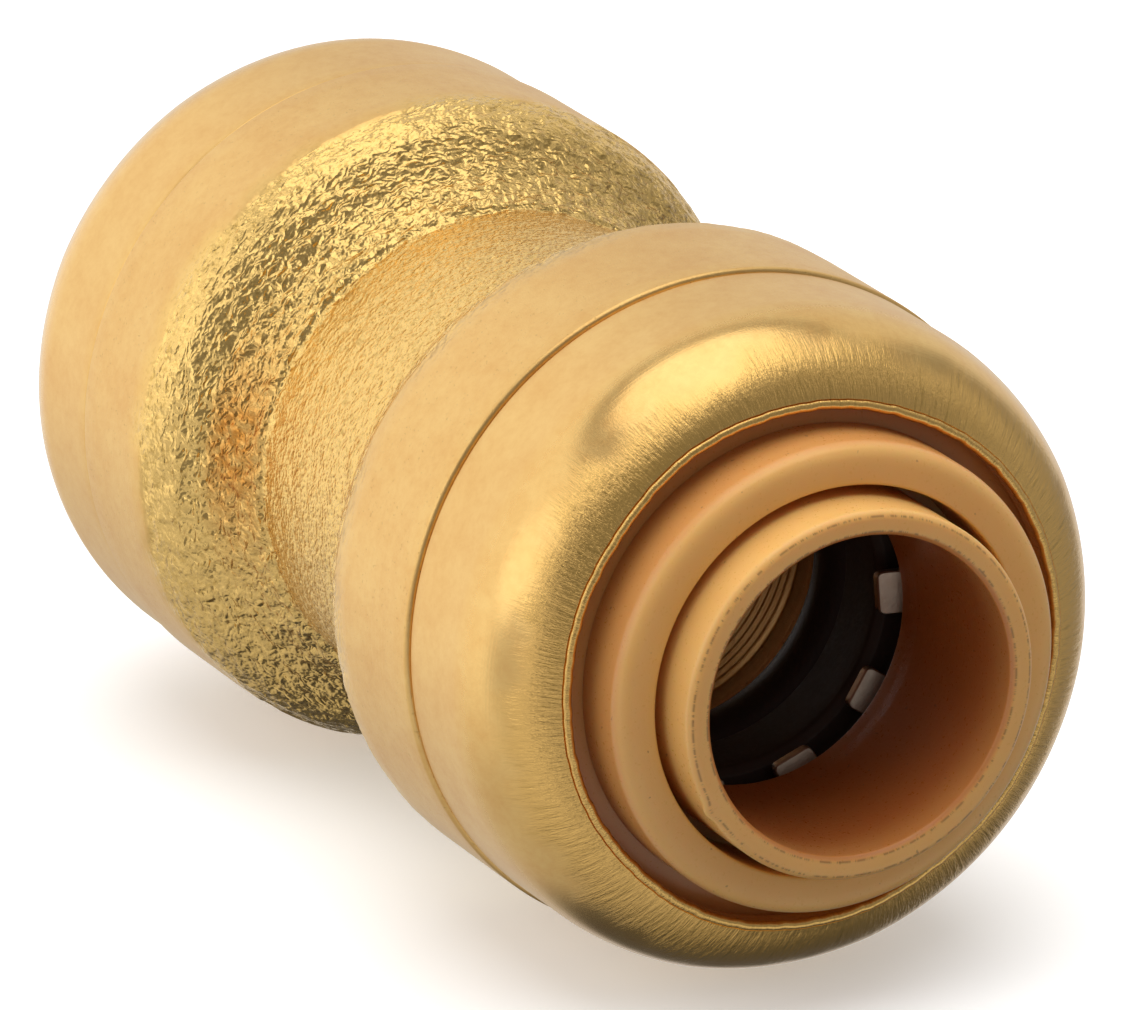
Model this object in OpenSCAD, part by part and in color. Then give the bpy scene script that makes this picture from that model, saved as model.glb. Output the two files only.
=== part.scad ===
// Push-to-connect tube coupling: two identical sockets on one forged brass body.
// The axis of the fitting is +X, the origin is its centre, and the front end is at +X.
// Each outline is drawn as [radius, distance from the centre] and turned about the axis.

/* [Tube] */
// Outside diameter of the tube that the sockets take
tube_d = 9.525; // [9.4:0.025:9.6]
// Radial room between the tube and every bore that guides it
tube_play = 0.0875; // [0.05:0.0125:0.15]

/* [Body] */
// Outside diameter of the two machined sockets
body_d = 20.5; // [20.3:0.1:22]
// Outside diameter of the plain neck in the middle of the waist
neck_d = 15.36; // [14.6:0.02:15.6]
// Distance that the waist lies behind the middle of the body
waist_shift = 0.4; // [0:0.1:0.4]
// Half the length of the waist, out to the machined sockets
waist_half = 6.97; // [6.9:0.01:7]
// Radius that rounds the shoulder into the waist
shoulder_r = 2.8; // [2.5:0.05:2.9]
// Radius of the hollow that runs from the shoulder down to the neck
hollow_r = 4.4; // [4.2:0.1:4.5]
// Distance from the centre to the seam between body and end cap
seam_x = 11.4; // [11.3:0.05:11.6]
// Half the width of the stop ring that the tube ends land on
stop_half = 0.9; // [0.6:0.1:1.4]
// Diameter of the water way through the stop ring
waterway_d = 7.8; // [6.8:0.1:8.2]

/* [End cap] */
// Outside diameter of the end cap
cap_d = 20.3; // [20.2:0.05:20.4]
// Thickness of the brass sheet
sheet = 0.55; // [0.45:0.05:0.6]
// Radius of the rolled dome, on its outside
dome_r = 3.55; // [3.4:0.05:3.7]
// Inside diameter of the rolled lip
lip_d = 15.6; // [15.2:0.1:16]
// Distance from the centre to where the dome starts
dome_x = 14.25; // [14.2:0.05:14.3]

/* [Release collar] */
// Distance from the centre to the collar's flat end face at rest
collar_x = 20.4; // [20:0.1:21]
// Outside diameter of the collar's sleeve
collar_d = 11.2; // [11:0.05:11.3]

/* [Grab ring] */
// Number of teeth
tooth_count = 10; // [8:1:12]
// Width of one tooth
tooth_w = 1.35; // [1:0.05:1.5]
// Thickness of the stainless sheet
tooth_t = 0.3; // [0.2:0.05:0.35]
// Diameter of the circle that the tooth tips lie on
tip_d = 9.2; // [9.1:0.05:9.4]
// Angle that the teeth lean back from the ring's own plane
tooth_lean = 20; // [10:1:26]
// Turn of the first tooth about the axis
tooth_phase = 22.5; // [0:0.5:36]

/* [Seal] */
// Thickness of the O-ring's section
seal_section = 2.3; // [2.2:0.05:2.35]
// Inside diameter of the O-ring, a little less than the tube
seal_d = 9.3; // [9.25:0.05:9.4]

/* [Hidden] */
$fn = 96;

brass = "goldenrod";
plastic = "burlywood";
steel = "silver";
black = "dimgray";

guide_r = tube_d / 2 + tube_play;
body_r = body_d / 2;
cap_r = cap_d / 2;
collar_r = collar_d / 2;
tip_r = tip_d / 2;
far = 60;

// Stack of pieces inside one socket, as distances from the centre
landing_x = 7.5;
seal_x = landing_x + seal_section / 2 + 0.05;
protector_x = landing_x + seal_section + 0.1;
pocket_x = 10.4;
ring_x = 13.1;
guide_x = ring_x + tooth_t;
dome_centre_r = cap_r - dome_r;

// Radii of the socket's steps
seal_seat_r = seal_d / 2 + seal_section + 0.02;
spigot_r = 9.1;
spigot_bore_r = 8.5;
ring_r = 8.4;
tooth_root_r = 6.3;
edge_break = 0.12;

// Waist: shoulder and hollow are arcs that meet where the wall is steepest
entry_slope = 12.5;
wall_slope = 52;
hollow_slope = 54;
foot_slope = 24;
shoulder_mid_x = waist_half + shoulder_r * sin(entry_slope);
shoulder_mid_r = body_r - shoulder_r * cos(entry_slope);
arc_meet_x = shoulder_mid_x - shoulder_r * sin(wall_slope);
arc_meet_r = shoulder_mid_r + shoulder_r * cos(wall_slope);
hollow_mid_x = arc_meet_x - hollow_r * sin(hollow_slope);
hollow_mid_r = arc_meet_r + hollow_r * cos(hollow_slope);
foot_x = hollow_mid_x + hollow_r * sin(foot_slope);

// Turns an outline about the fitting's axis, at the front end
module turned() {
    rotate([0, 90, 0])
        rotate_extrude()
            children();
}

// Copies one end's piece to the front or to the rear
module at_end(front) {
    if (front) children();
    else mirror([1, 0, 0]) children();
}

// Flat band of the outline from radius r0 to r1 and from distance x0 to x1
module band(r0, r1, x0, x1) {
    translate([r0, x0])
        square([r1 - r0, x1 - x0]);
}

// Half of the body's cavity: waterway, landing for the tube, seal seat and pocket
module socket_cavity() {
    band(0, waterway_d / 2, -1, landing_x);
    band(0, guide_r, stop_half, landing_x + 1);
    polygon([
        [0, landing_x - 0.4], [guide_r, landing_x - 0.4], [guide_r + 0.4, landing_x],
        [guide_r + 0.4, landing_x + 1], [0, landing_x + 1]
    ]);
    band(0, seal_seat_r, landing_x, pocket_x);
    band(0, spigot_r, pocket_x, far);
}

// What half of the waist takes off the body's outline
module waist_waste() {
    overlap = 0.3;
    band(neck_d / 2, body_r + 1, -1, foot_x);
    intersection() {
        translate([hollow_mid_r, hollow_mid_x]) circle(r = hollow_r);
        band(0, body_r + 1, foot_x - overlap, waist_half);
    }
    difference() {
        band(shoulder_mid_r, body_r + 1, arc_meet_x, shoulder_mid_x);
        translate([shoulder_mid_r, shoulder_mid_x]) circle(r = shoulder_r);
    }
}

// Half of the body's outline, with its half of the waist moved along by shift
module body_half(shift) {
    difference() {
        polygon([
            [0, 0], [body_r, 0], [body_r, seam_x - edge_break],
            [body_r - edge_break, seam_x], [0, seam_x]
        ]);
        translate([0, shift]) waist_waste();
        socket_cavity();
    }
}

module body() {
    color(brass)
        union() {
            turned() body_half(-waist_shift);
            mirror([1, 0, 0]) turned() body_half(waist_shift);
        }
}

// Sheet shell: a spigot in the body, a straight skirt, and a dome rolled in to the lip
module end_cap() {
    color(brass)
        turned()
            difference() {
                union() {
                    band(0, spigot_r, pocket_x + 0.05, seam_x);
                    polygon([
                        [0, seam_x], [cap_r - edge_break, seam_x],
                        [cap_r, seam_x + edge_break], [cap_r, dome_x], [0, dome_x]
                    ]);
                    intersection() {
                        translate([dome_centre_r, dome_x]) circle(r = dome_r);
                        band(dome_centre_r, far, dome_x, far);
                    }
                }
                band(0, spigot_bore_r, 0, guide_x);
                band(0, cap_r - sheet, guide_x, dome_x);
                intersection() {
                    translate([dome_centre_r, dome_x]) circle(r = dome_r - sheet);
                    band(0, far, dome_x, far);
                }
                band(0, lip_d / 2, guide_x, far);
            }
}

// Moulded ring under the lip: it clamps the grab ring and guides the collar
module guide_ring() {
    clear = 0.08;
    floor_x = 16.6;
    ridge_r = 0.5;
    ridge_mid = 6.7;
    ridge_x = 18.45;
    mouth_r = 5.93;
    keeper_x = 16.4;
    color(plastic)
        turned()
            difference() {
                union() {
                    band(0, cap_r - sheet - clear, guide_x, dome_x);
                    intersection() {
                        translate([dome_centre_r, dome_x]) circle(r = dome_r - sheet - clear);
                        band(0, far, dome_x, floor_x);
                    }
                    band(0, dome_centre_r, guide_x, floor_x);
                    band(0, ridge_mid + ridge_r, floor_x - 0.5, ridge_x);
                    band(0, ridge_mid, ridge_x, ridge_x + ridge_r);
                    translate([ridge_mid, ridge_x]) circle(r = ridge_r);
                }
                band(0, 6.75, 0, keeper_x);
                band(0, mouth_r, 0, far);
            }
}

// Sleeve that is pushed in to lift the teeth, kept in by its flange
module release_collar() {
    inner_x = 13.6;
    flange_r = 6.6;
    flange_front = 16.35;
    flange_back = 15.3;
    bevel = 0.25;
    round_r = 0.18;
    color(plastic)
        turned()
            difference() {
                union() {
                    polygon([
                        [0, inner_x], [collar_r - 2 * bevel, inner_x], [collar_r, inner_x + 2 * bevel],
                        [collar_r, collar_x - round_r], [collar_r - round_r, collar_x], [0, collar_x]
                    ]);
                    translate([collar_r - round_r, collar_x - round_r]) circle(r = round_r, $fn = 32);
                    polygon([
                        [0, flange_back - bevel], [collar_r, flange_back - bevel],
                        [flange_r, flange_back + bevel], [flange_r, flange_front], [0, flange_front]
                    ]);
                }
                band(0, guide_r, 0, far);
                polygon([
                    [0, collar_x - bevel / 2], [guide_r, collar_x - bevel / 2],
                    [guide_r + bevel / 2, collar_x], [guide_r + bevel / 2, far], [0, far]
                ]);
            }
}

// Stainless washer whose teeth lean back towards the tube stop
module grab_ring() {
    tooth_l = (tooth_root_r - tip_r - tooth_t * sin(tooth_lean)) / cos(tooth_lean);
    color(steel)
        union() {
            turned() band(tooth_root_r, ring_r, ring_x, ring_x + tooth_t);
            for (i = [0 : tooth_count - 1])
                rotate([tooth_phase + i * 360 / tooth_count, 0, 0])
                    translate([ring_x, 0, tooth_root_r])
                        rotate([0, tooth_lean, 0])
                            translate([0, -tooth_w / 2, -tooth_l])
                                cube([tooth_t, tooth_w, tooth_l + 0.4]);
        }
}

// Black ring that backs the teeth and keeps them off the seal
module seal_protector() {
    color(black)
        turned()
            polygon([
                [guide_r + 0.03, protector_x], [seal_seat_r - 0.05, protector_x],
                [seal_seat_r - 0.05, pocket_x + 0.05], [spigot_bore_r - 0.08, pocket_x + 0.05],
                [spigot_bore_r - 0.08, ring_x], [7, ring_x],
                [5.75, 12.2], [guide_r + 0.3, 12.15], [guide_r + 0.03, 11.9]
            ]);
}

module o_ring() {
    color(black)
        turned()
            translate([seal_d / 2 + seal_section / 2, seal_x])
                circle(r = seal_section / 2);
}

body();
at_end(true) end_cap();  // front_end_cap
at_end(true) guide_ring();  // front_guide_ring
at_end(true) release_collar();  // front_release_collar
at_end(true) grab_ring();  // front_grab_ring
at_end(true) seal_protector();  // front_seal_protector
at_end(true) o_ring();  // front_o_ring
at_end(false) end_cap();  // rear_end_cap
at_end(false) guide_ring();  // rear_guide_ring
at_end(false) release_collar();  // rear_release_collar
at_end(false) grab_ring();  // rear_grab_ring
at_end(false) seal_protector();  // rear_seal_protector
at_end(false) o_ring();  // rear_o_ring
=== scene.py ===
import math

import bmesh
import bpy
import numpy as np
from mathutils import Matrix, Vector, noise


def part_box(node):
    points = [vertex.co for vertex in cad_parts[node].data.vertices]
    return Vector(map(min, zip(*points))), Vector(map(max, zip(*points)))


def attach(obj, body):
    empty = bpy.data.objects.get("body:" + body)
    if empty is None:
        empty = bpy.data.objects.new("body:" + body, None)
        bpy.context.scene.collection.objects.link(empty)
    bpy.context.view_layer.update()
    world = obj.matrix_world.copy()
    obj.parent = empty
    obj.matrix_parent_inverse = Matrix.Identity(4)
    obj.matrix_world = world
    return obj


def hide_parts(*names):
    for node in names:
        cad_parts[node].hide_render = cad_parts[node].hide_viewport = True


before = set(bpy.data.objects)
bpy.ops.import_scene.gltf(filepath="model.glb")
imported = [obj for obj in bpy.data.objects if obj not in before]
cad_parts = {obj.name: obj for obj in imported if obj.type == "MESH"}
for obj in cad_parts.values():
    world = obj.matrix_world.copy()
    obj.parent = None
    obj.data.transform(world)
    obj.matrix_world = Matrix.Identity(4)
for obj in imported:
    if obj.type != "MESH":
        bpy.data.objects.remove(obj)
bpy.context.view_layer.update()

MM = 0.001

# ---------------------------------------------------------------- sizes, in millimetres, as in the CAD model
BODY_R = 10.25
CAP_R = 10.15
SEAM_X = 11.4
DOME_X = 14.25
DOME_CENTRE_R = 6.6
DOME_R = 3.55
SHEET = 0.55
LIP_R = 7.8
GUIDE_R = 4.85
COLLAR_X = 20.4
COLLAR_R = 5.6
WAIST_X = -0.4
WAIST_HALF = 6.97
ENTRY_DEG = 12.5
WALL_DEG = 52
FOOT_DEG = 24
SHOULDER_R = 2.8
HOLLOW_R = 4.4
RING_X = 13.1
TOOTH_T = 0.3
FLOOR_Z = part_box("body")[0].z
FLOOR_HALF = 2


# ---------------------------------------------------------------- outlines, as lists of (x, r) points
def arc(cx, cr, radius, a0, a1, step):
    """Points along an arc from angle a0 to a1 in degrees, where 0 is +x and 90 is away from the axis."""
    n = max(2, int(math.ceil(abs(math.radians(a1 - a0)) * radius / step)))
    angles = np.radians(np.linspace(a0, a1, n + 1))
    return [(cx + radius * math.cos(a), cr + radius * math.sin(a)) for a in angles]


def arc_by_slope(start, radius, slope0, slope1, step=0.1):
    """Points along an arc from start, where the outline slopes by slope0 degrees, to where it slopes by slope1,
    followed towards -x. A positive radius curves towards the axis, and a negative one away from it."""
    n = max(2, int(math.ceil(abs(math.radians(slope1 - slope0) * radius) / step)))
    a0 = math.radians(slope0)
    return [
        (start[0] - radius * (math.sin(a) - math.sin(a0)), start[1] - radius * (math.cos(a0) - math.cos(a)))
        for a in np.radians(np.linspace(slope0, slope1, n + 1))
    ]


def rounded(corners, pieces=4):
    """An outline from (x, r) or (x, r, fillet) corners, each fillet turned into a short curve."""
    out = []
    n = len(corners)
    for i, c in enumerate(corners):
        if len(c) < 3 or c[2] <= 0:
            out.append((c[0], c[1]))
            continue
        p = np.array(c[:2])
        before = np.array(corners[i - 1][:2])
        after = np.array(corners[(i + 1) % n][:2])
        u, v = before - p, after - p
        lu, lv = np.linalg.norm(u), np.linalg.norm(v)
        cut = min(c[2], 0.45 * lu, 0.45 * lv)
        a, b = p + u / lu * cut, p + v / lv * cut
        for k in range(pieces + 1):
            t = k / pieces
            q = (1 - t) ** 2 * a + 2 * t * (1 - t) * p + t * t * b
            out.append((float(q[0]), float(q[1])))
    return out


def refine(points, step_at):
    """The closed outline with each stretch cut into steps no longer than step_at(x, r)."""
    out = []
    for i, p in enumerate(points):
        q = points[(i + 1) % len(points)]
        length = math.dist(p, q)
        mid = ((p[0] + q[0]) / 2, (p[1] + q[1]) / 2)
        n = max(1, int(math.ceil(length / step_at(*mid) - 1e-6)))
        for k in range(n):
            t = k / n
            out.append((p[0] + (q[0] - p[0]) * t, p[1] + (q[1] - p[1]) * t))
    return out


def smoothstep(a, b, v):
    t = np.clip((v - a) / (b - a), 0, 1)
    return t * t * (3 - 2 * t)


# ---------------------------------------------------------------- solids of revolution
def lathe(name, outline, segments, shape=None, marks=None, front=True, sharp_deg=28):
    """A ring-shaped solid: the closed outline turned about X, with its rows moved by shape(x, r, theta, along).
    along is the length along the outline in mm; marks(x, r, theta, along) gives named point attributes."""
    pts = np.array(outline)
    rows = len(pts)
    step = np.linalg.norm(np.roll(pts, -1, 0) - pts, axis=1)
    along = np.concatenate([[0], np.cumsum(step)[:-1]])
    theta = np.arange(segments) * 2 * math.pi / segments
    x = np.repeat(pts[:, 0], segments)
    r = np.repeat(pts[:, 1], segments)
    s = np.repeat(along, segments)
    t = np.tile(theta, rows)
    x0, r0 = x.copy(), r.copy()
    if shape is not None:
        x, r = shape(x, r, t, s)
    side = 1.0 if front else -1.0
    co = np.stack([side * x, r * np.cos(t), r * np.sin(t)], 1) * MM

    i = np.arange(rows)[:, None]
    j = np.arange(segments)[None, :]
    a = i * segments + j
    b = i * segments + (j + 1) % segments
    c = ((i + 1) % rows) * segments + (j + 1) % segments
    d = ((i + 1) % rows) * segments + j
    quads = np.stack([a, b, c, d] if front else [a, d, c, b], -1).reshape(-1, 4)

    mesh = bpy.data.meshes.new(name)
    mesh.vertices.add(len(co))
    mesh.vertices.foreach_set("co", co.astype(np.float32).ravel())
    mesh.loops.add(len(quads) * 4)
    mesh.loops.foreach_set("vertex_index", quads.astype(np.int32).ravel())
    mesh.polygons.add(len(quads))
    mesh.polygons.foreach_set("loop_start", np.arange(len(quads), dtype=np.int32) * 4)
    mesh.update(calc_edges=True)
    mesh.polygons.foreach_set("use_smooth", np.ones(len(quads), bool))

    into = pts - np.roll(pts, 1, 0)
    away = np.roll(pts, -1, 0) - pts
    cross = into[:, 0] * away[:, 1] - into[:, 1] * away[:, 0]
    turn = np.degrees(np.abs(np.arctan2(cross, (into * away).sum(1))))
    sharp_rows = turn > sharp_deg
    ends = np.zeros(len(mesh.edges) * 2, np.int32)
    mesh.edges.foreach_get("vertices", ends)
    ends = ends.reshape(-1, 2)
    same_row = ends[:, 0] // segments == ends[:, 1] // segments
    sharp = same_row & sharp_rows[ends[:, 0] // segments]
    layer = mesh.attributes.new("sharp_edge", "BOOLEAN", "EDGE")
    layer.data.foreach_set("value", sharp)

    values = {"along": s}
    if marks is not None:
        values.update(marks(x0, r0, t, s))
    for key, v in values.items():
        attribute = mesh.attributes.new(key, "FLOAT", "POINT")
        attribute.data.foreach_set("value", np.asarray(v, np.float32))
    mesh.update()
    obj = bpy.data.objects.new(name, mesh)
    bpy.context.scene.collection.objects.link(obj)
    return obj


def waves(theta, parts):
    """A sum of named harmonics: (turns, size, phase in degrees)."""
    return sum(size * np.cos(turns * theta - math.radians(phase)) for turns, size, phase in parts)


def bell(theta, middle_deg, width):
    """1 at one angle about the axis, falling to 0 over width radians on either side."""
    off = np.angle(np.exp(1j * (theta - math.radians(middle_deg))))
    return np.exp(-(off / width) ** 2)


def fractal(points, octaves=2):
    """Smooth noise about 0 at each point."""
    out = np.zeros(len(points))
    for k, p in enumerate(points):
        v, gain, scale = 0.0, 1.0, 1.0
        for _ in range(octaves):
            v += gain * noise.noise((p[0] * scale, p[1] * scale, p[2] * scale))
            gain *= 0.5
            scale *= 2.1
        out[k] = v
    return out


# ---------------------------------------------------------------- material helpers
class Shader:
    """A small helper that adds nodes to one material and links them."""

    def __init__(self, name):
        self.material = bpy.data.materials.new(name)
        self.material.use_nodes = True
        self.tree = self.material.node_tree
        self.tree.nodes.clear()
        self.out = self.tree.nodes.new("ShaderNodeOutputMaterial")
        self.coords = self.add("ShaderNodeTexCoord").outputs["Object"]

    def add(self, kind, values=None, **props):
        node = self.tree.nodes.new(kind)
        for key, v in props.items():
            setattr(node, key, v)
        for key, v in (values or {}).items():
            if isinstance(v, bpy.types.NodeSocket):
                self.tree.links.new(v, node.inputs[key])
            else:
                node.inputs[key].default_value = v
        return node

    def math(self, operation, a, b=0.0, c=0.0):
        return self.add("ShaderNodeMath", {0: a, 1: b, 2: c}, operation=operation).outputs[0]

    def vector(self, operation, a, b=(0, 0, 0)):
        return self.add("ShaderNodeVectorMath", {0: a, 1: b}, operation=operation).outputs[0]

    def attribute(self, name):
        return self.add("ShaderNodeAttribute", attribute_name=name).outputs["Fac"]

    def noise(self, vector, scale=1.0, detail=2.0, rough=0.5, distort=0.0):
        return self.add("ShaderNodeTexNoise", {
            "Vector": vector, "Scale": scale, "Detail": detail, "Roughness": rough, "Distortion": distort,
        }).outputs["Fac"]

    def remap(self, v, a, b, c=0.0, d=1.0, smooth=False):
        return self.add("ShaderNodeMapRange", {
            "Value": v, "From Min": a, "From Max": b, "To Min": c, "To Max": d,
        }, interpolation_type="SMOOTHSTEP" if smooth else "LINEAR").outputs["Result"]

    def mix(self, fac, a, b):
        """Colour mix."""
        return self.wire(self.add("ShaderNodeMix", data_type="RGBA"), fac, a, b)

    def blend(self, fac, a, b):
        """Plain number mix."""
        return self.wire(self.add("ShaderNodeMix", data_type="FLOAT"), fac, a, b)

    def wire(self, node, *values):
        """Gives a mix node's live inputs their values or links, and returns its live output."""
        for socket, v in zip([s for s in node.inputs if s.enabled], values):
            if isinstance(v, bpy.types.NodeSocket):
                self.tree.links.new(v, socket)
            elif isinstance(v, (tuple, list)):
                socket.default_value = (*v[:3], 1.0)
            else:
                socket.default_value = v
        return [s for s in node.outputs if s.enabled][0]

    def ring_coords(self, along, along_scale, around_scale):
        """Coordinates that run along the outline and around the axis, in waves per mm."""
        flat = self.vector("MULTIPLY", self.coords, (0.0, 1.0, 1.0))
        unit = self.vector("NORMALIZE", flat)
        split = self.add("ShaderNodeSeparateXYZ", {0: unit}).outputs
        return self.add("ShaderNodeCombineXYZ", {
            "X": self.math("MULTIPLY", along, along_scale),
            "Y": self.math("MULTIPLY", split["Y"], around_scale),
            "Z": self.math("MULTIPLY", split["Z"], around_scale),
        }).outputs[0]

    def scaled(self, per_mm):
        """Object coordinates in waves per millimetre."""
        return self.vector("MULTIPLY", self.coords, (per_mm / MM,) * 3)

    def bump(self, height, depth_mm, normal=None, strength=1.0):
        values = {"Height": height, "Distance": depth_mm * MM, "Strength": strength}
        if normal is not None:
            values["Normal"] = normal
        return self.add("ShaderNodeBump", values).outputs["Normal"]

    def finish(self, values):
        """Ends the material with one Principled surface and returns it."""
        bsdf = self.add("ShaderNodeBsdfPrincipled", values)
        self.tree.links.new(bsdf.outputs["BSDF"], self.out.inputs["Surface"])
        return self.material


def srgb(r, g, b):
    """Linear colour from 0 to 255 sRGB values."""
    def lin(c):
        c /= 255
        return c / 12.92 if c <= 0.04045 else ((c + 0.055) / 1.055) ** 2.4
    return (lin(r), lin(g), lin(b), 1.0)


# ---------------------------------------------------------------- materials
BRASS = srgb(239, 198, 126)
BRASS_RED = srgb(229, 180, 108)
BRASS_CAST = srgb(243, 203, 124)
BRASS_TARNISH = srgb(196, 158, 84)


def brass_body():
    m = Shader("forged_brass")
    along = m.attribute("along")
    cast = m.attribute("cast")
    blotch = m.noise(m.scaled(0.55), detail=4, rough=0.6)
    fleck = m.noise(m.scaled(3.0), detail=3, rough=0.65)
    tone = m.math("ADD", m.remap(blotch, 0.35, 0.7, 0.0, 0.6), m.remap(fleck, 0.4, 0.75, 0.0, 0.5))
    machined = m.mix(tone, BRASS, BRASS_RED)
    pits = m.remap(m.noise(m.scaled(9.0), detail=2), 0.27, 0.34, 1.0, 0.0, smooth=True)
    machined = m.mix(m.math("MULTIPLY", pits, 0.35), machined, BRASS_TARNISH)
    grit = m.noise(m.scaled(5.5), detail=3, rough=0.6)
    rough_tone = m.mix(m.remap(grit, 0.3, 0.48, 0.75, 0.0), BRASS_CAST, BRASS_TARNISH)
    # Painted reflection: a mottled orange patch on the rear wall at one angle, standing in for the front part
    # mirrored in the brass.
    stain = m.math("MULTIPLY", m.attribute("stain"), m.remap(fleck, 0.3, 0.6, 0.35, 1.0))
    rough_tone = m.mix(stain, rough_tone, srgb(206, 140, 62))
    colour = m.mix(cast, machined, rough_tone)

    lines = m.noise(m.ring_coords(along, 14.0, 2.5), detail=3, rough=0.6)
    fine = m.noise(m.scaled(16.0), detail=2)
    turned = m.math("ADD", m.math("MULTIPLY", lines, 0.55), m.math("MULTIPLY", fine, 0.45))
    turned = m.math("SUBTRACT", turned, m.math("MULTIPLY", pits, 0.8))
    smooth_bump = m.bump(m.math("MULTIPLY", turned, m.math("SUBTRACT", 1.0, cast)), 0.011)
    wall = m.attribute("wall")
    hammer = m.noise(m.ring_coords(along, 3.4, 17.0), detail=1, rough=0.5, distort=0.5)
    sand = m.noise(m.ring_coords(along, 7.5, 52.0), detail=1, rough=0.5)
    folds = m.math("MULTIPLY", m.math("ABSOLUTE", m.math("SUBTRACT", hammer, 0.5)), m.blend(wall, 0.25, 1.5))
    beaten = m.math("ADD", folds, m.math("MULTIPLY", sand, 0.36))
    normal = m.bump(m.math("MULTIPLY", beaten, cast), 0.13, normal=smooth_bump)
    rough = m.blend(cast, m.remap(fine, 0.3, 0.7, 0.36, 0.44), m.remap(sand, 0.3, 0.7, 0.2, 0.32))
    return m.finish({"Base Color": colour, "Metallic": 1.0, "Roughness": rough, "Normal": normal})


def brass_cap():
    m = Shader("spun_brass")
    along = m.attribute("along")
    crimp = m.attribute("crimp")
    polish = m.attribute("polish")
    blotch = m.noise(m.scaled(0.6), detail=4, rough=0.6)
    fleck = m.noise(m.scaled(3.2), detail=3, rough=0.65)
    tone = m.math("ADD", m.remap(blotch, 0.35, 0.7, 0.0, 0.6), m.remap(fleck, 0.4, 0.75, 0.0, 0.45))
    colour = m.mix(tone, BRASS, BRASS_RED)
    colour = m.mix(crimp, colour, srgb(240, 194, 114))
    streaks = m.noise(m.ring_coords(along, 0.9, 85.0), detail=3, rough=0.65)
    dark = m.math("MULTIPLY", m.remap(streaks, 0.32, 0.44, 1.0, 0.0, smooth=True), crimp)
    colour = m.mix(m.math("MULTIPLY", dark, 0.45), colour, BRASS_TARNISH)

    grooves = m.noise(m.ring_coords(along, 11.0, 1.6), detail=2, rough=0.5)
    wrinkles = m.noise(m.ring_coords(along, 1.1, 62.0), detail=4, rough=0.7)
    fine = m.noise(m.scaled(16.0), detail=2)
    base = m.math("ADD", m.math("MULTIPLY", grooves, 0.5), m.math("MULTIPLY", fine, 0.35))
    normal = m.bump(base, 0.006)
    normal = m.bump(m.math("MULTIPLY", wrinkles, crimp), 0.045, normal=normal)
    rough = m.blend(polish, m.remap(fine, 0.3, 0.7, 0.34, 0.42), m.remap(fine, 0.3, 0.7, 0.17, 0.23))
    return m.finish({"Base Color": colour, "Metallic": 1.0, "Roughness": rough, "Normal": normal})


def tan_plastic():
    m = Shader("tan_plastic")
    along = m.attribute("along")
    edge = m.attribute("edge")
    cloud = m.noise(m.scaled(0.7), detail=3)
    colour = m.mix(cloud, srgb(234, 183, 109), srgb(228, 174, 99))
    # Painted shade: a darker, redder tan laid on by a point attribute, standing in for the shade in the
    # collar's bore and on the guide ring's wall under the cap's lip.
    colour = m.mix(m.attribute("shade"), colour, srgb(186, 104, 50))
    dashes = m.remap(m.noise(m.ring_coords(along, 0.4, 16.0), detail=4, rough=0.8), 0.47, 0.53, 0.0, 1.0)
    colour = m.mix(m.math("MULTIPLY", m.math("MULTIPLY", edge, dashes), 0.6), colour, srgb(96, 62, 34))
    specks = m.remap(m.noise(m.scaled(4.0), detail=1), 0.2, 0.24, 1.0, 0.0)
    colour = m.mix(m.math("MULTIPLY", specks, 0.5), colour, srgb(120, 78, 40))
    skin = m.noise(m.scaled(9.0), detail=3, rough=0.6)
    drawn = m.noise(m.ring_coords(along, 7.0, 2.2), detail=2)
    height = m.math("ADD", m.math("MULTIPLY", skin, 0.6), m.math("MULTIPLY", drawn, 0.4))
    normal = m.bump(height, 0.007)
    rough = m.remap(skin, 0.3, 0.7, 0.26, 0.36)
    return m.finish({
        "Base Color": colour, "Roughness": rough, "Normal": normal, "IOR": 1.49,
        "Subsurface Weight": 0.35, "Subsurface Radius": (1.0, 0.45, 0.16), "Subsurface Scale": 1.1 * MM,
    })


def black_plastic():
    m = Shader("black_plastic")
    skin = m.noise(m.scaled(7.0), detail=3)
    colour = m.mix(skin, srgb(52, 41, 33), srgb(66, 51, 40))
    return m.finish({
        "Base Color": colour, "Roughness": m.remap(skin, 0.3, 0.7, 0.5, 0.65),
        "Normal": m.bump(skin, 0.01), "IOR": 1.5,
    })


def seal_rubber():
    m = Shader("seal_rubber")
    skin = m.noise(m.scaled(12.0), detail=3)
    colour = m.mix(skin, srgb(50, 42, 36), srgb(62, 51, 43))
    return m.finish({
        "Base Color": colour, "Roughness": m.remap(skin, 0.3, 0.7, 0.4, 0.55),
        "Normal": m.bump(skin, 0.006), "IOR": 1.52,
    })


def stainless():
    m = Shader("stainless")
    stretch = m.vector("MULTIPLY", m.coords, (2.0 / MM, 14.0 / MM, 14.0 / MM))
    brushed = m.noise(stretch, detail=3)
    # The steel's own uneven tone, not painted light.
    stain = m.noise(m.scaled(1.6), detail=3)
    colour = m.mix(stain, srgb(232, 218, 200), srgb(196, 172, 150))
    return m.finish({
        "Base Color": colour, "Metallic": 1.0, "Roughness": m.remap(brushed, 0.3, 0.7, 0.32, 0.48),
        "Normal": m.bump(brushed, 0.006),
    })


MATERIALS = {
    "forged_brass": brass_body(),
    "spun_brass": brass_cap(),
    "tan_plastic": tan_plastic(),
    "black_plastic": black_plastic(),
    "seal_rubber": seal_rubber(),
    "stainless": stainless(),
}


def place(obj, body, node, slot):
    """Puts a finished piece on its body in place of its CAD node, with its slot's material."""
    obj.data.materials.append(MATERIALS[slot])
    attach(obj, body)
    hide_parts(node)
    return obj


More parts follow.
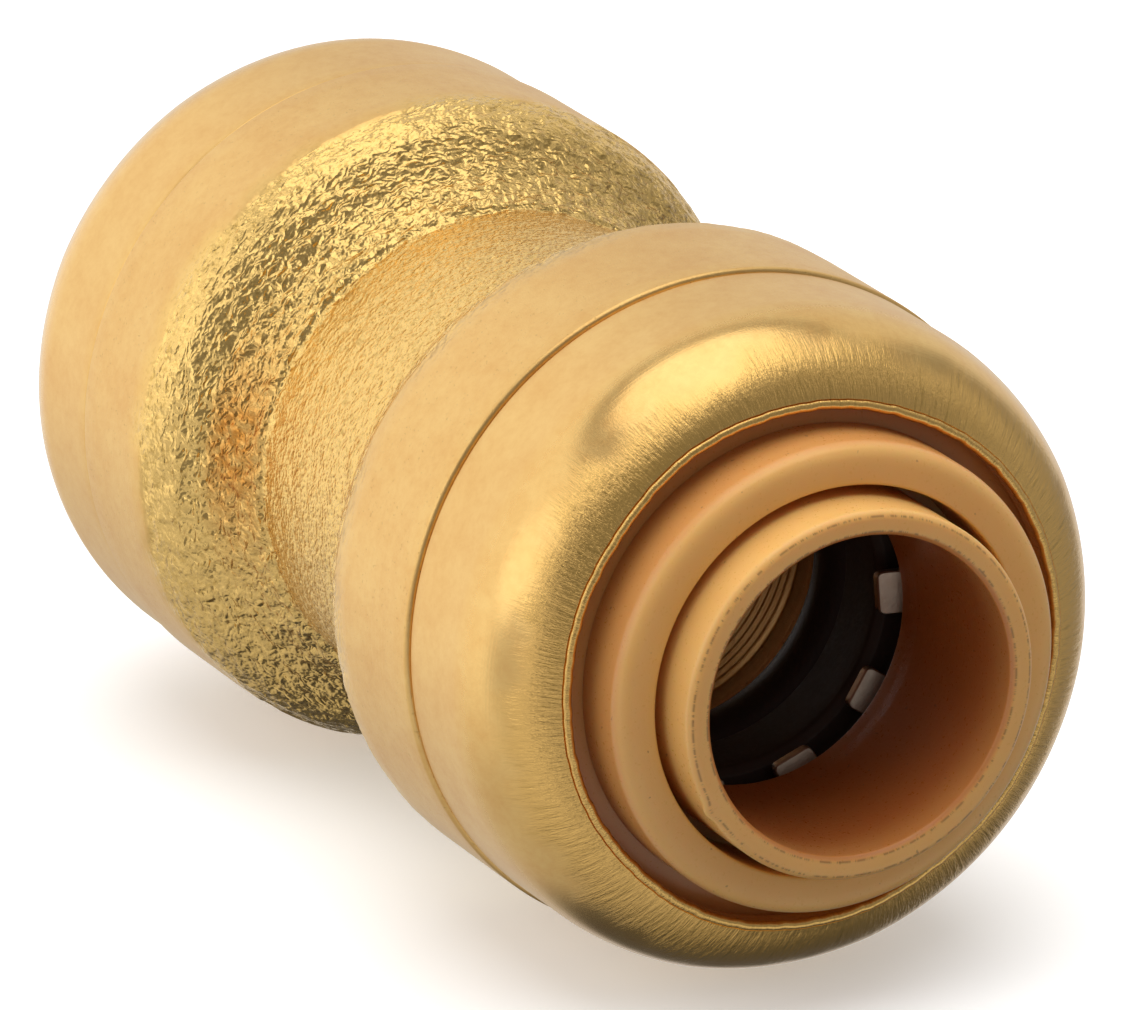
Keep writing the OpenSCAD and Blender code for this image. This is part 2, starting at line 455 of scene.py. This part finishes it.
# ---------------------------------------------------------------- forged body
GROOVE_COUNT = 14
GROOVE_X = 1.6
GROOVE_PITCH = 0.37
GROOVE_DEPTH = 0.03
# The angle about the axis of the painted reflection on the rear wall.
PAINTED_REFLECTION_DEG = 172
CAST_FRONT_X = WAIST_X + WAIST_HALF
CAST_REAR_X = WAIST_X - WAIST_HALF


def body_outline():
    """Front half's bore, outside and rear half's bore, as one closed outline that starts in the water way."""
    bore = []
    for k in range(GROOVE_COUNT):
        gx = GROOVE_X + k * GROOVE_PITCH
        bore += [(gx, GUIDE_R), (gx + 0.25, GUIDE_R)]
        bore += [(gx + 0.28, GUIDE_R + GROOVE_DEPTH), (gx + 0.33, GUIDE_R + GROOVE_DEPTH)]
    half = rounded(
        [(0.0, 3.9), (0.9, 3.9, 0.15), (0.9, GUIDE_R)] + bore
        + [(7.1, GUIDE_R, 0.06), (7.5, 5.25, 0.05), (7.5, 6.97), (10.4, 6.97), (10.4, 9.1),
           (SEAM_X, 9.1)] + arc(SEAM_X - 0.16, BODY_R - 0.16, 0.16, 0, 90, 0.06),
    )
    shoulder = arc_by_slope((WAIST_HALF, BODY_R), SHOULDER_R, ENTRY_DEG, WALL_DEG)
    hollow = arc_by_slope(shoulder[-1], -HOLLOW_R, WALL_DEG, FOOT_DEG)
    lip = arc_by_slope(hollow[-1], 0.2, FOOT_DEG, 62, 0.05)
    foot = arc_by_slope(lip[-1], -0.25, 62, 0, 0.05)
    side = shoulder + hollow[1:] + lip[1:] + foot[1:]
    waist = [(WAIST_X + x, r) for x, r in side] + [(WAIST_X - x, r) for x, r in reversed(side)]
    rear = [(-x, r) for x, r in reversed(half)]
    return half + waist + rear[:-1]


def body_step(x, r):
    return 0.11 if abs(x) < 7.8 and r > 6.0 else 0.8


def cast_mask(x, r, t):
    wobble = 0.09 * np.sin(5 * t + 1.0) + 0.07 * np.sin(13 * t) + 0.04 * np.sin(31 * t + 2.0)
    mask = smoothstep(CAST_REAR_X - 0.12, CAST_REAR_X + 0.12, x + wobble)
    mask = mask * (1 - smoothstep(CAST_FRONT_X - 0.3, CAST_FRONT_X + 0.25, x + wobble))
    return np.where(r > np.where(np.abs(x) < 7.0, 6.0, 9.0), mask, 0.0)


def body_shape(x, r, t, s):
    mask = cast_mask(x, r, t)
    live = mask > 0.001
    p = np.stack([x, r * np.cos(t), r * np.sin(t)], 1)[live]
    coarse = fractal(p * 0.8, 2)
    dimples = fractal(p * np.array([3.2, 1.9, 1.9]), 2)
    drop = np.zeros(len(x))
    calm = 0.3 + 0.7 * wall_mask(x[live])
    drop[live] = (0.05 * coarse * calm + 0.09 * dimples * calm - 0.05) * mask[live]
    return x, r + drop


def wall_mask(x):
    """1 on the steep rear and front walls of the waist, 0 on its neck and out at the shoulders."""
    off = np.abs(x - WAIST_X)
    return smoothstep(3.0, 3.8, off) * (1 - 0.6 * smoothstep(5.3, 6.3, off))


def body_marks(x, r, t, s):
    # Where the painted reflection lies: at one angle about the axis, on the rear wall between x -5.7 and -3.7.
    stain = bell(t, PAINTED_REFLECTION_DEG, 0.34) * smoothstep(-5.7, -5.2, x) * (1 - smoothstep(-4.3, -3.7, x))
    return {"cast": cast_mask(x, r, t), "wall": wall_mask(x), "stain": stain}


place(
    lathe("forged_body", refine(body_outline(), body_step), 640, body_shape, body_marks),
    "fitting", "body", "forged_brass",
)

# ---------------------------------------------------------------- end caps
LIP_DEG = math.degrees(math.atan2(8.11 - DOME_CENTRE_R, 17.44 - DOME_X))
LIP_WAVES = [(1, 0.12, 150), (2, 0.09, 285), (3, 0.05, 40), (5, 0.03, 200), (9, 0.02, 15)]


def cap_outline():
    inner = DOME_R - SHEET
    skirt = rounded([
        (11.0, 8.5), (10.45, 8.5, 0.05), (10.45, 9.1, 0.08), (SEAM_X + 0.02, 9.1),
    ]) + arc(SEAM_X + 0.2, CAP_R - 0.18, 0.18, 180, 90, 0.06)
    dome = arc(DOME_X, DOME_CENTRE_R, DOME_R, 90, LIP_DEG, 0.14)
    rim = [(17.43, 8.085)] + arc(17.435, 7.95, 0.15, 62, -100, 0.05) + [(17.3, LIP_R), (17.06, LIP_R)]
    lip_deg = math.degrees(math.asin((LIP_R - DOME_CENTRE_R) / inner))
    inside = arc(DOME_X, DOME_CENTRE_R, inner, lip_deg, 90, 0.3)
    return skirt + dome + rim + inside + [(13.4, 9.6), (13.4, 8.5)]


def cap_shape(x, r, t, s):
    near = smoothstep(9.6, 7.9, r) * (x > DOME_X)
    lip = waves(t, LIP_WAVES)
    nibble = 0.009 * np.sin(37 * t + np.sin(5 * t)) + 0.008 * np.sin(61 * t + 1) + 0.008 * np.sin(97 * t)
    edge = smoothstep(8.3, 7.95, r) * (x > 17.0)
    dents = waves(t, [(4, 0.015, 0), (7, 0.01, 80)]) * smoothstep(11.6, 14.0, x) * (r > 7)
    return x + 0.03 * np.sin(3 * t) * edge, r + (lip * near * 0.9 + nibble * edge) - np.abs(dents)


def cap_marks(x, r, t, s):
    ragged = 0.35 * np.sin(7 * t) + 0.25 * np.sin(17 * t + 1) + 0.2 * np.sin(41 * t + 2)
    crimp = smoothstep(9.75, 9.0, r + 0.4 * ragged) * (x > DOME_X)
    return {"crimp": crimp, "polish": smoothstep(14.2, 15.4, x)}


# ---------------------------------------------------------------- plastic rings
def guide_outline():
    clear = SHEET + 0.08
    hug = DOME_R - clear
    floor_deg = math.degrees(math.acos((16.6 - DOME_X) / hug))
    outer = [(13.4, CAP_R - clear)] + arc(DOME_X, DOME_CENTRE_R, hug, 90, floor_deg, 0.3)
    ridge = arc(18.42, 6.65, 0.5, 90, 30, 0.06)
    top = rounded([(16.6, 7.16, 0.12), (18.2, 7.18)])
    crown = ridge[:-1] + [(18.88, 6.86), (18.93, 6.72), (18.95, 6.5), (18.95, 6.2)]
    mouth = rounded([(18.95, 6.2), (18.95, 5.93, 0.1), (16.4, 5.93), (16.4, 6.75), (13.4, 6.75)])[1:]
    return outer + top[:-1] + crown + mouth


def guide_marks(x, r, t, s):
    # Marks the ring's outer wall, under the cap's lip, for painted shade.
    return {"shade": 0.6 * smoothstep(7.0, 7.2, r) * (x > 16.4)}


FLASH_DEG = 210


def collar_outline():
    return rounded([
        (14.6, GUIDE_R), (20.26, GUIDE_R, 0.05), (COLLAR_X, 4.985, 0.05), (COLLAR_X, 5.44, 0.12),
        (COLLAR_X - 0.16, COLLAR_R, 0.1), (16.35, COLLAR_R), (16.35, 6.6, 0.1), (15.55, 6.6, 0.1),
        (15.05, COLLAR_R), (14.1, COLLAR_R), (13.6, 5.1, 0.06), (13.6, GUIDE_R, 0.08),
    ])


def collar_shape(x, r, t, s):
    flash = bell(t, FLASH_DEG, 0.05)
    outer = smoothstep(5.2, 5.55, r) * smoothstep(19.9, 20.3, x)
    tilt = 0.02 * np.sin(t + 0.6) * smoothstep(18, 20.4, x)
    return x - 0.08 * flash * outer - 0.02 * smoothstep(18, 20.4, x) + tilt, r + 0.12 * flash * outer


def collar_marks(x, r, t, s):
    inner = np.exp(-((r - 5.0) / 0.03) ** 2) * (x > 20.2)
    outer = np.exp(-((r - 5.45) / 0.03) ** 2) * (x > 20.2)
    # Painted shade down the collar's bore, a little lighter towards its front face.
    shade = (1 - smoothstep(4.9, 5.05, r)) * (1 - 0.3 * smoothstep(18.5, 20.3, x))
    return {"edge": np.clip(inner + outer, 0, 1), "shade": shade}


def plain_step(x, r):
    return 0.5


def collar_step(x, r):
    return 0.03 if x > 20.2 else 0.5


# ---------------------------------------------------------------- seal parts
def protector_outline():
    return rounded([
        (9.9, 4.9, 0.1), (9.9, 6.92, 0.05), (10.45, 6.92), (10.45, 8.4), (13.1, 8.4, 0.05),
        (13.1, 7.0, 0.05), (12.2, 5.75, 0.1), (12.15, 5.15, 0.05), (11.9, 4.9, 0.1),
    ])


def o_ring_outline():
    return arc(8.7, 5.8, 1.15, 0, 360, 0.22)[:-1]


# ---------------------------------------------------------------- grab rings
TOOTH_COUNT = 10
TOOTH_W = 1.35
TOOTH_LENGTH = 2.05
TOOTH_OVERLAP = 0.25
TOOTH_LEAN = 20
TOOTH_PHASE = 22.5
TOOTH_CORNER = 0.22
CORNER_STEPS = 5
TIP_R = 4.6
ROOT_R = 6.3
RING_R = 8.1
EDGE_BREAK = 0.04
RING_DROP = (-0.08, -0.34)


def tooth_sheet():
    """One tooth's outline in its own plane: across is y, out from the tip is z, with rounded tip corners."""
    half = TOOTH_W / 2
    pts = []
    for middle, start in ((TOOTH_CORNER - half, 180), (half - TOOTH_CORNER, 270)):
        for k in range(CORNER_STEPS + 1):
            a = math.radians(start + 90 * k / CORNER_STEPS)
            pts.append((middle + TOOTH_CORNER * math.cos(a), TOOTH_CORNER * (1 + math.sin(a))))
    return pts + [(half, TOOTH_LENGTH), (-half, TOOTH_LENGTH)]


def tooth(sheet, turn, side):
    """Points and faces of one leaning tooth at an angle about the axis, with its edges broken."""
    lean = math.radians(TOOTH_LEAN)
    out = (math.cos(turn), math.sin(turn))
    across = (-math.sin(turn), math.cos(turn))
    layers = ((EDGE_BREAK, 0.0), (0.0, EDGE_BREAK), (0.0, TOOTH_T - EDGE_BREAK), (EDGE_BREAK, TOOTH_T))
    points = []
    for bevel, depth in layers:
        for y, z in sheet:
            narrow = y * (1 - bevel / (TOOTH_W / 2))
            up = max(z, bevel) if z < TOOTH_LENGTH / 2 else z
            r = TIP_R + up * math.cos(lean)
            x = RING_X + depth - (TOOTH_LENGTH - TOOTH_OVERLAP - up) * math.sin(lean)
            points.append((side * x, r * out[0] + narrow * across[0], r * out[1] + narrow * across[1]))
    n = len(sheet)
    faces = [tuple(range(n)), tuple(range(3 * n, 4 * n))]
    for layer in range(len(layers) - 1):
        for i in range(n):
            j = (i + 1) % n
            faces.append((layer * n + i, layer * n + j, (layer + 1) * n + j, (layer + 1) * n + i))
    return points, faces


def grab_ring(name, front):
    """The washer with its teeth as one mesh, dropped a little in its seat."""
    washer = rounded([
        (RING_X, ROOT_R), (RING_X, RING_R, 0.05), (RING_X + TOOTH_T, RING_R, 0.05), (RING_X + TOOTH_T, ROOT_R),
    ])
    base = lathe(name, washer, 160, None, None, front)
    verts = [tuple(c / MM for c in v.co) for v in base.data.vertices]
    faces = [tuple(p.vertices) for p in base.data.polygons]
    bpy.data.objects.remove(base)
    sheet = tooth_sheet()
    for k in range(TOOTH_COUNT):
        turn = math.radians(90 + TOOTH_PHASE + k * 360 / TOOTH_COUNT)
        points, sides = tooth(sheet, turn, 1.0 if front else -1.0)
        faces += [tuple(len(verts) + i for i in face) for face in sides]
        verts += points
    mesh = bpy.data.meshes.new(name)
    seated = [(x * MM, (y + RING_DROP[0]) * MM, (z + RING_DROP[1]) * MM) for x, y, z in verts]
    mesh.from_pydata(seated, [], faces)
    bm = bmesh.new()
    bm.from_mesh(mesh)
    bmesh.ops.recalc_face_normals(bm, faces=bm.faces)
    bm.to_mesh(mesh)
    bm.free()
    obj = bpy.data.objects.new(name, mesh)
    bpy.context.scene.collection.objects.link(obj)
    return obj


for end, front in (("front", True), ("rear", False)):
    place(
        lathe(end + "_spun_cap", refine(cap_outline(), plain_step), 420, cap_shape, cap_marks, front),
        "fitting", end + "_end_cap", "spun_brass",
    )
    place(
        lathe(end + "_moulded_guide", refine(guide_outline(), plain_step), 256, None, guide_marks, front),
        "fitting", end + "_guide_ring", "tan_plastic",
    )
    place(
        lathe(end + "_collar", refine(collar_outline(), collar_step), 320, collar_shape, collar_marks, front),
        end + "_collar", end + "_release_collar", "tan_plastic",
    )
    place(
        lathe(end + "_protector", refine(protector_outline(), plain_step), 200, None, None, front),
        "fitting", end + "_seal_protector", "black_plastic",
    )
    place(
        lathe(end + "_seal", o_ring_outline(), 200, None, None, front),
        "fitting", end + "_o_ring", "seal_rubber",
    )
    place(grab_ring(end + "_teeth", front), "fitting", end + "_grab_ring", "stainless")

# ---------------------------------------------------------------- floor, light and camera
scene = bpy.context.scene
scene.view_settings.view_transform = "Standard"

floor_mesh = bpy.data.meshes.new("floor")
floor_corners = [(x * FLOOR_HALF, y * FLOOR_HALF, FLOOR_Z) for x, y in ((-1, -1), (1, -1), (1, 1), (-1, 1))]
floor_mesh.from_pydata(floor_corners, [], [(0, 1, 2, 3)])
floor = bpy.data.objects.new("floor", floor_mesh)
scene.collection.objects.link(floor)
floor.visible_glossy = False
floor.visible_diffuse = False
m = Shader("floor")
floor_tone = m.noise(m.scaled(0.02), detail=2)
floor_mesh.materials.append(m.finish({
    "Base Color": m.mix(floor_tone, (0.92, 0.92, 0.92), (0.9, 0.9, 0.9)), "Roughness": 0.8,
    "Emission Color": (1.0, 1.0, 1.0, 1.0), "Emission Strength": 0.3,
}))

world = bpy.data.worlds.new("studio")
scene.world = world
world.use_nodes = True


def studio(tree, level, patches):
    """A soft studio round the object: a plain level with round soft patches painted over it in turn.
    Each patch is (azimuth from +X, elevation, inner deg, outer deg, level)."""
    def node(kind, values, **props):
        made = tree.nodes.new(kind)
        for key, v in props.items():
            setattr(made, key, v)
        for key, v in values.items():
            if isinstance(v, bpy.types.NodeSocket):
                tree.links.new(v, made.inputs[key])
            else:
                made.inputs[key].default_value = v
        return made

    toward = node("ShaderNodeVectorMath", {0: node("ShaderNodeTexCoord", {}).outputs["Generated"]},
                  operation="NORMALIZE").outputs[0]
    total = level
    for azimuth, elevation, inner, outer, value in patches:
        az, el = math.radians(azimuth), math.radians(elevation)
        middle = (math.cos(az) * math.cos(el), math.sin(az) * math.cos(el), math.sin(el))
        dot = node("ShaderNodeVectorMath", {0: toward, 1: middle}, operation="DOT_PRODUCT").outputs["Value"]
        angle = node("ShaderNodeMath", {0: dot}, operation="ARCCOSINE").outputs[0]
        share = node("ShaderNodeMapRange", {
            "Value": angle, "From Min": math.radians(outer), "From Max": math.radians(inner),
        }, interpolation_type="SMOOTHSTEP").outputs["Result"]
        kept = node("ShaderNodeMath", {0: 1.0, 1: share}, operation="SUBTRACT").outputs[0]
        old = node("ShaderNodeMath", {0: total, 1: kept}, operation="MULTIPLY").outputs[0]
        total = node("ShaderNodeMath", {0: share, 1: value, 2: old}, operation="MULTIPLY_ADD").outputs[0]
    background = tree.nodes["Background"]
    background.inputs["Color"].default_value = (1.0, 0.995, 0.985, 1.0)
    tree.links.new(total, background.inputs["Strength"])


studio(world.node_tree, 1.12, [
    (-160, 22, 15, 50, 1.1),
    (128, 12, 30, 62, 0.80),
    (0, -90, 45, 85, 0.66),
    (-62, -88, 10, 60, 0.50),
    (125, -66, 26, 39, 0.10),
    (95, -14, 20, 34, 0.28),
    (-80, -12, 8, 30, 0.66),
    (-20, 18, 38, 50, 0.24),
    (35, 18, 36, 50, 0.24),
    (80, 12, 24, 40, 0.36),
    (72, 28, 5, 16, 0.70),
    (0, 90, 36, 44, 0.45),
    (0, 90, 26, 32, 1.55),
    (-90, 17, 12, 19, 1.45),
])


def softbox(name, position, target, size, power, colour=(1, 1, 1)):
    light = bpy.data.lights.new(name, "AREA")
    light.shape = "RECTANGLE"
    light.size, light.size_y = (v * MM for v in size)
    light.energy = power
    light.color = colour
    obj = bpy.data.objects.new(name, light)
    obj.location = Vector(position) * MM
    obj.rotation_mode = "QUATERNION"
    obj.rotation_quaternion = (Vector(target) - Vector(position)).to_track_quat("-Z", "Y")
    scene.collection.objects.link(obj)
    return obj


fill = softbox("fill", (0, 0, 400), (0, 0, 0), (500, 500), 1.2)
fill.visible_glossy = False

CAMERA_AZ = 63.6555
CAMERA_EL = 19.0882
CAMERA_AT = (301.202, -148.678, 115.762)
CAMERA_FOV = 5.4657
a, e = math.radians(CAMERA_AZ), math.radians(CAMERA_EL)
back = Vector((math.sin(a) * math.cos(e), -math.cos(a) * math.cos(e), math.sin(e)))
camera = bpy.data.objects.new("camera", bpy.data.cameras.new("camera"))
camera.data.sensor_width = 36
camera.data.sensor_fit = "HORIZONTAL"
camera.data.lens = 18 / math.tan(math.radians(CAMERA_FOV) / 2)
camera.data.clip_start, camera.data.clip_end = 0.01, 20
camera.location = Vector(CAMERA_AT) * MM
camera.rotation_mode = "QUATERNION"
camera.rotation_quaternion = (-back).to_track_quat("-Z", "Y")
scene.collection.objects.link(camera)
scene.camera = camera
